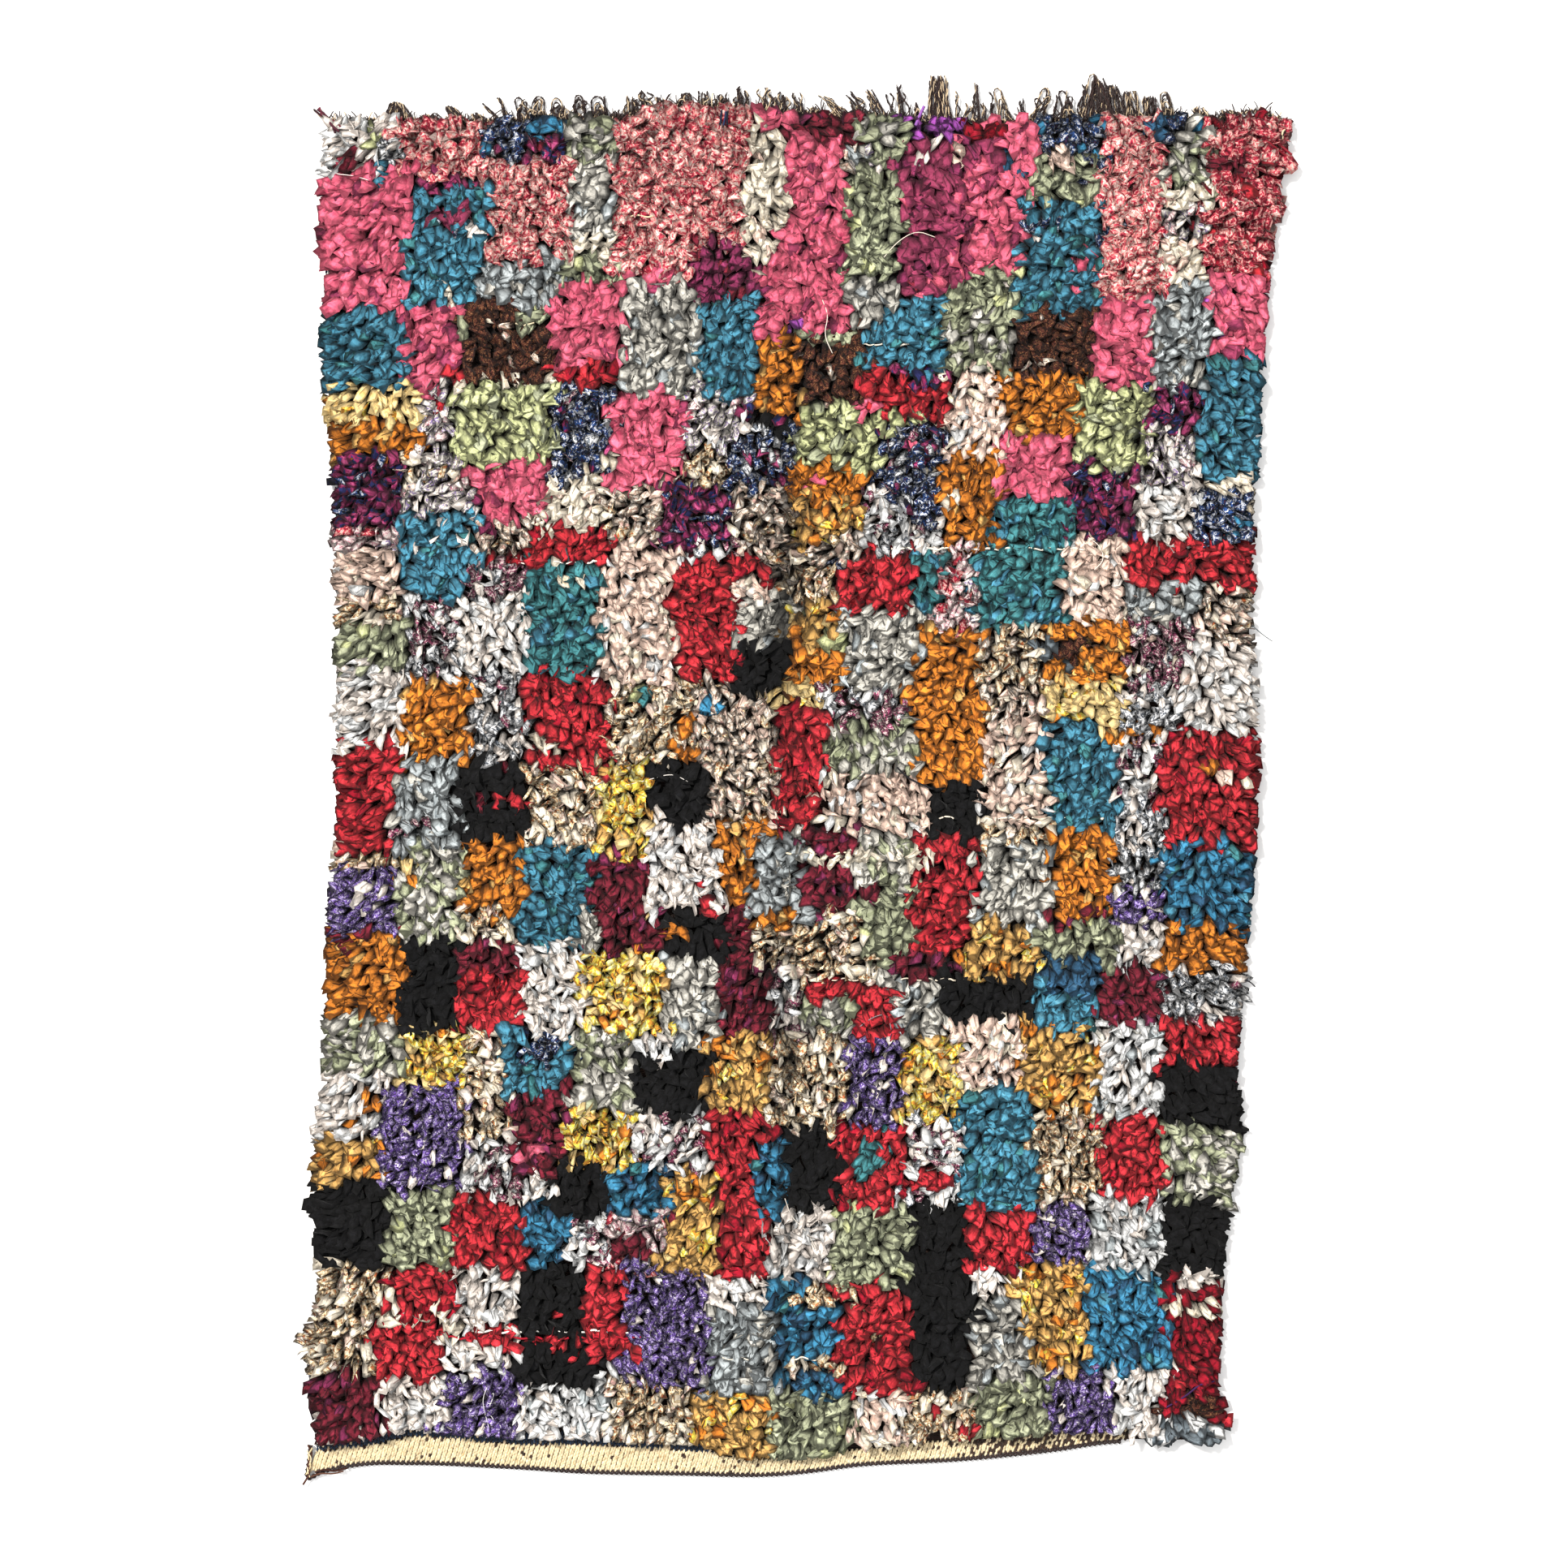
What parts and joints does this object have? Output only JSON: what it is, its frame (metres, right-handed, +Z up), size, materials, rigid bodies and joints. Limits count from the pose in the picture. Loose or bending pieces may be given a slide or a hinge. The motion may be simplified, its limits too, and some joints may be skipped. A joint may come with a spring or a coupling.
{
  "type": "shag rag rug",
  "caption": "Boucherouite rug laid flat: a checker of crumpled rag pile in many cloths, loose warp ends along the top edge, flatwoven hem and dark end cord below.",
  "frame": {"origin": "middle of the rug's outline in plan, at the level of its underside", "axes": "+X to the right-hand side, +Y to the fringed end, +Z up through the pile"},
  "size_m": [1.6078, 2.2646, 0.0321],
  "materials": {
    "rag_pile": "matte",
    "warp_yarn": "matte",
    "cord_yarn": "matte"
  },
  "bodies": {
    "root": {"rug": "rag_pile", "warp_fringe": "warp_yarn", "end_cord": "cord_yarn"}
  },
  "joints": []
}
